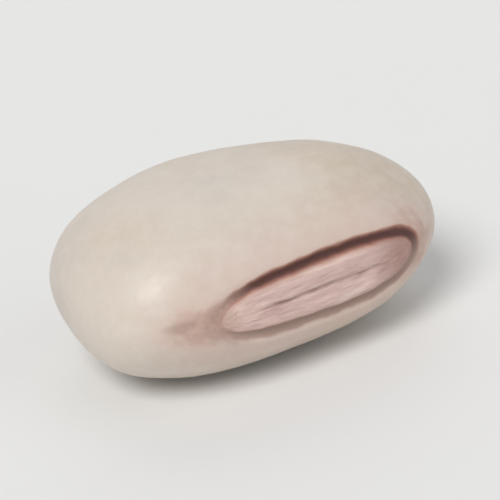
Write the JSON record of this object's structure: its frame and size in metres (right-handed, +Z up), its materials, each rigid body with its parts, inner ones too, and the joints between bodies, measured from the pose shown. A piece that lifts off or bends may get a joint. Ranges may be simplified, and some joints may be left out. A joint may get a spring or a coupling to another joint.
{
  "type": "velvet bean seed",
  "caption": "Ripe white-coated bean seed, plump and oblong, with a long raised hilum on its edge, lying on its flatter cheek.",
  "frame": {"origin": "under the middle of the bounding box, on the surface that the seed rests on", "axes": "+X along the length towards the narrower end, -Y towards the edge that carries the hilum, +Z up through the two cheeks"},
  "size_m": [0.0162, 0.0112, 0.0077],
  "materials": {
    "seed_coat": "smooth satin ivory seed coat with warm tan and greyish clouds, and a pinkish-tan, finely creased hilum outlined in dark reddish brown"
  },
  "bodies": {
    "root": {"seed": "seed_coat"}
  },
  "joints": []
}
